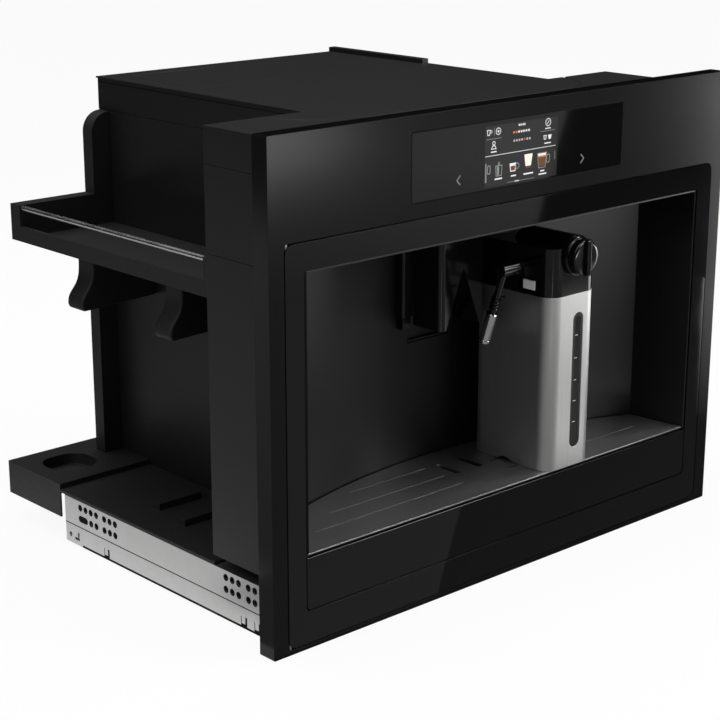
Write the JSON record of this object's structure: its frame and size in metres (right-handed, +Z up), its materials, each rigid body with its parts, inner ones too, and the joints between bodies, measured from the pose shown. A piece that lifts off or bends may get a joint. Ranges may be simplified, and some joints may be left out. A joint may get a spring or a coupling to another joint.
{
  "type": "built in coffee machine",
  "caption": "Built-in bean-to-cup coffee machine on pull-out rails, with a side-hinged glass front over a cup niche, a docked milk carafe, side water tank and storage shelf.",
  "frame": {"origin": "on the cabinet floor, in the middle of the machine's width, in the plane of the cabinet's front edge, which the front frame's rear face meets", "axes": "+X to the viewer's right along the front, +Y from the front into the cabinet, +Z up from the cabinet floor"},
  "size_m": [0.597, 0.4703, 0.455],
  "materials": {
    "satin_black": "satin black powder coat",
    "satin_plastic": "moulded, satin black",
    "black_glass": "polished, back-painted black",
    "screen_glass": "dark display panel",
    "black_plastic": "moulded, fine grain",
    "gloss_black": "moulded, polished",
    "brushed_steel": "brushed",
    "zinc_steel": "zinc-plated sheet",
    "chromed_steel": "bright chrome plate",
    "clear_plastic": "clear, faintly blue",
    "smoked_plastic": "clear, smoked",
    "cast_alloy": "as cast",
    "grey_plastic": "moulded",
    "circuit_board": "lacquered board",
    "ceramic": "fired, unglazed",
    "pale_grey": "moulded",
    "silicone": "translucent silicone"
  },
  "bodies": {
    "cabinet_rails": {"left_rail_fixed": "zinc_steel", "right_rail_fixed": "zinc_steel"},
    "middle_rails": {"left_rail_middle": "zinc_steel", "right_rail_middle": "zinc_steel"},
    "machine": {"left_rail_moving": "zinc_steel", "right_rail_moving": "zinc_steel", "base_tray": "black_plastic", "front_frame": "satin_black", "control_glass": "black_glass", "display_module": "screen_glass", "hinge_pin_upper": "zinc_steel", "hinge_pin_lower": "zinc_steel", "casing_left": "satin_plastic", "casing_right": "satin_plastic", "casing_top": "satin_plastic", "top_cover": "satin_plastic", "body_shell": "satin_plastic", "bulkhead": "zinc_steel", "side_shelf": "black_plastic", "guard_rod": "chromed_steel", "hook_front": "black_plastic", "hook_rear": "black_plastic", "bean_hopper": "smoked_plastic", "grinder_housing": "grey_plastic", "grinder_motor": "cast_alloy", "infuser_frame": "grey_plastic", "infuser_motor": "cast_alloy", "grounds_container": "black_plastic", "pump": "cast_alloy", "flow_heater": "cast_alloy", "steam_boiler": "brushed_steel", "pump_hose": "silicone", "power_board": "circuit_board", "fan_housing": "black_plastic", "mains_inlet": "black_plastic"},
    "door": {"door_frame": "black_glass", "niche_liner": "gloss_black", "spout_guide": "black_plastic", "niche_column": "gloss_black", "dock_panel": "gloss_black"},
    "drip_tray": {"drip_tray_front": "black_glass", "drip_tray": "black_plastic", "drip_grille": "brushed_steel"},
    "coffee_spout": {"spout_cover": "gloss_black", "spout_outlets": "grey_plastic"},
    "carafe": {"carafe_sleeve": "brushed_steel", "carafe_jar": "smoked_plastic", "carafe_lid": "gloss_black"},
    "froth_knob": {"froth_knob": "gloss_black"},
    "milk_spout": {"milk_spout": "black_plastic", "milk_nozzle": "brushed_steel"},
    "lid_button": {"lid_button": "pale_grey"},
    "bean_lid": {"bean_lid": "satin_plastic"},
    "grind_knob": {"grind_knob": "black_plastic"},
    "grinder_burr": {"grinder_burr": "ceramic"},
    "fan_rotor": {"fan_rotor": "black_plastic"},
    "main_switch": {"main_switch": "gloss_black"},
    "water_tank": {"water_tank": "clear_plastic"},
    "tank_lid": {"tank_lid": "black_plastic"},
    "brew_chamber": {"brew_chamber": "black_plastic"}
  },
  "joints": [
    {"name": "machine_slide", "type": "slide", "parent": "cabinet_rails", "child": "machine", "axis": [0, -1, 0], "range_m": [0, 0.3]},
    {"name": "middle_rail_slide", "type": "slide", "parent": "cabinet_rails", "child": "middle_rails", "axis": [0, -1, 0], "range_m": [0, 0.15]},
    {"name": "door_hinge", "type": "hinge", "parent": "machine", "child": "door", "pos_m": [-0.2785, -0.0167, 0.18], "axis": [0, 0, -1], "range_deg": [0, 100]},
    {"name": "drip_tray_slide", "type": "slide", "parent": "door", "child": "drip_tray", "axis": [0, -1, 0], "range_m": [0, 0.13]},
    {"name": "spout_slide", "type": "slide", "parent": "door", "child": "coffee_spout", "axis": [0, 0, -1], "range_m": [0, 0.055]},
    {"name": "carafe_slide", "type": "slide", "parent": "door", "child": "carafe", "axis": [0, -1, 0], "range_m": [0, 0.15]},
    {"name": "froth_knob_turn", "type": "hinge", "parent": "carafe", "child": "froth_knob", "pos_m": [0.07725, -0.03, 0.2963], "axis": [0, -1, 0], "range_deg": [-75, 75]},
    {"name": "milk_spout_tilt", "type": "hinge", "parent": "carafe", "child": "milk_spout", "pos_m": [0.0115, 0.0108, 0.2873], "axis": [-1, 0, 0], "range_deg": [0, 40]},
    {"name": "lid_button_press", "type": "slide", "parent": "carafe", "child": "lid_button", "axis": [1, 0, 0], "range_m": [0, 0.002], "stiffness_N_per_m": 200},
    {"name": "bean_lid_hinge", "type": "hinge", "parent": "machine", "child": "bean_lid", "pos_m": [-0.092, 0.3828, 0.4463], "axis": [-1, 0, 0], "range_deg": [0, 90]},
    {"name": "grind_knob_turn", "type": "hinge", "parent": "machine", "child": "grind_knob", "pos_m": [-0.05, 0.2808, 0.4], "axis": [0, 0, 1], "range_deg": [0, 270]},
    {"name": "grinder_burr_spin", "type": "hinge", "parent": "machine", "child": "grinder_burr", "pos_m": [-0.092, 0.3248, 0.31], "axis": [0, 0, 1], "continuous": true},
    {"name": "fan_spin", "type": "hinge", "parent": "machine", "child": "fan_rotor", "pos_m": [0.104, 0.394, 0.3743], "axis": [0, 1, 0], "continuous": true},
    {"name": "main_switch_rock", "type": "hinge", "parent": "machine", "child": "main_switch", "pos_m": [-0.04, 0.3998, 0.0983], "axis": [1, 0, 0], "range_deg": [0, 16]},
    {"name": "water_tank_lift", "type": "slide", "parent": "machine", "child": "water_tank", "axis": [0, 0, 1], "range_m": [0, 0.3]},
    {"name": "tank_lid_hinge", "type": "hinge", "parent": "water_tank", "child": "tank_lid", "pos_m": [0.212, 0.2468, 0.2689], "axis": [-1, 0, 0], "range_deg": [0, 95]},
    {"name": "brew_chamber_lift", "type": "slide", "parent": "machine", "child": "brew_chamber", "axis": [0, 0, 1], "range_m": [0, 0.035]}
  ],
  "couplings": [
    {"joint": "middle_rail_slide", "follows": "machine_slide", "ratio": 0.5}
  ]
}
